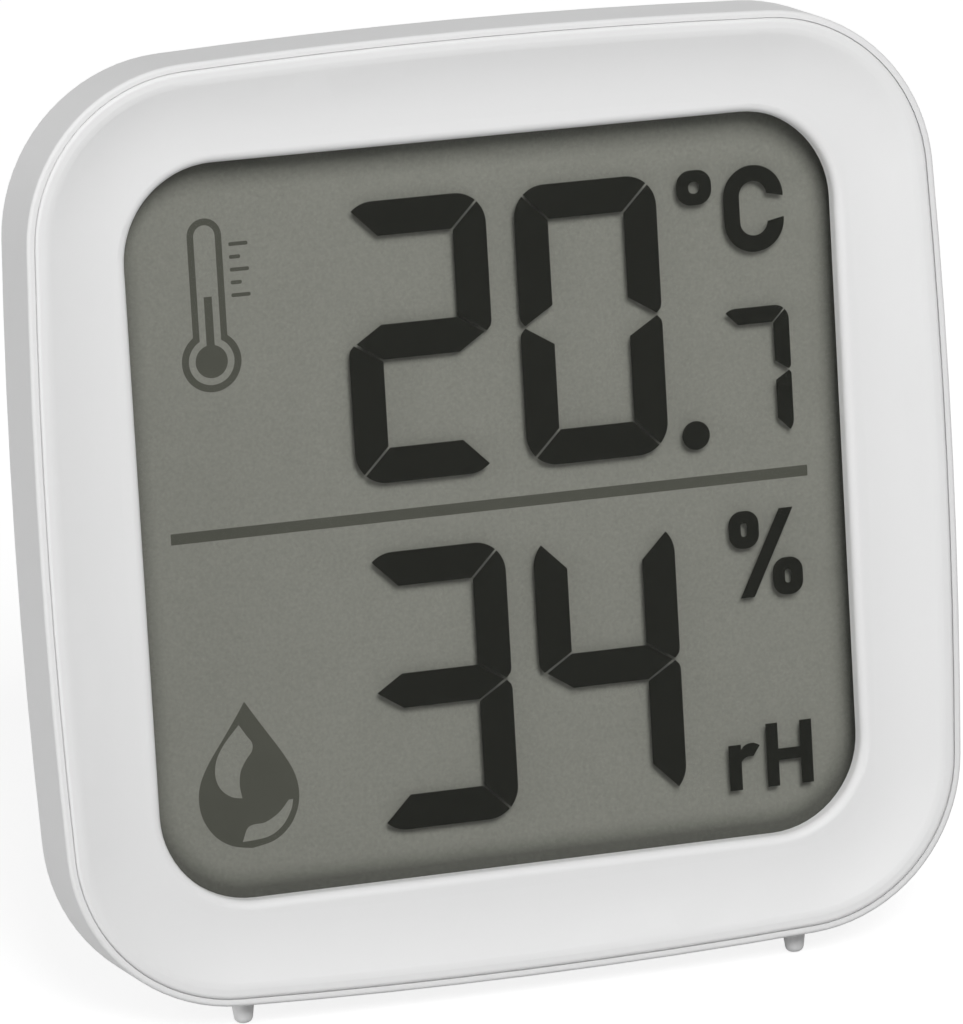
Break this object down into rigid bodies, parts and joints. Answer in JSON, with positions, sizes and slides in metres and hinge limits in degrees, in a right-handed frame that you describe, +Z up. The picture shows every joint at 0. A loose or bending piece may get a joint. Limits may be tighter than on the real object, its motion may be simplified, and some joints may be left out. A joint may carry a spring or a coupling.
{
  "type": "digital thermo-hygrometer",
  "caption": "Square white digital thermo-hygrometer with a dished bezel and a sunk segment display, leaning back on two small feet and a fold-out leg.",
  "frame": {"origin": "centre of the footprint, on the surface it stands on", "axes": "+Z up; the display faces -Y and leans back by 10.5 degrees; +X to the right of someone who reads it"},
  "size_m": [0.0602, 0.0231, 0.0605],
  "materials": {
    "shell_white": "satin",
    "button_grey": "satin",
    "polariser_film": "gloss",
    "display_glass": "gloss",
    "reflector": "satin",
    "black_rubber": "matte",
    "grey_foam": "matte",
    "board_green": "gloss",
    "black_resin": "gloss",
    "sensor_black": "matte",
    "bright_steel": "satin",
    "nickel_strip": "satin",
    "ceramic_tan": "matte",
    "chip_black": "matte",
    "switch_black": "satin",
    "plunger_cream": "satin"
  },
  "bodies": {
    "case": {"face_plate": "shell_white", "rear_case": "shell_white", "lcd_front_polariser": "polariser_film", "lcd_front_glass": "display_glass", "lcd_rear_glass": "display_glass", "lcd_rear_reflector": "reflector", "zebra_strip": "black_rubber", "foam_strip": "grey_foam", "circuit_board": "board_green", "controller_blob": "black_resin", "humidity_sensor": "sensor_black", "clock_crystal": "bright_steel", "chip_capacitors": "ceramic_tan", "chip_resistors": "chip_black", "tactile_switch": "switch_black", "positive_contact": "nickel_strip", "negative_contact": "nickel_strip", "coin_cell": "bright_steel"},
    "door": {"battery_door": "shell_white"},
    "leg": {"support_leg": "shell_white"},
    "button": {"unit_button": "button_grey", "switch_plunger": "plunger_cream"}
  },
  "joints": [
    {"name": "leg_fold", "type": "hinge", "parent": "case", "child": "leg", "pos_m": [0, 0.00368, 0.01945], "axis": [1, 0, 0], "range_deg": [-26.5, 0]},
    {"name": "door_turn", "type": "hinge", "parent": "case", "child": "door", "pos_m": [0, 0.00799, 0.03554], "axis": [0, 0.9833, -0.1822], "range_deg": [0, 45]},
    {"name": "button_press", "type": "slide", "parent": "case", "child": "button", "axis": [0, -0.9833, 0.1822], "range_m": [0, 0.0003], "stiffness_N_per_m": 1000, "springref_m": -0.0002}
  ]
}
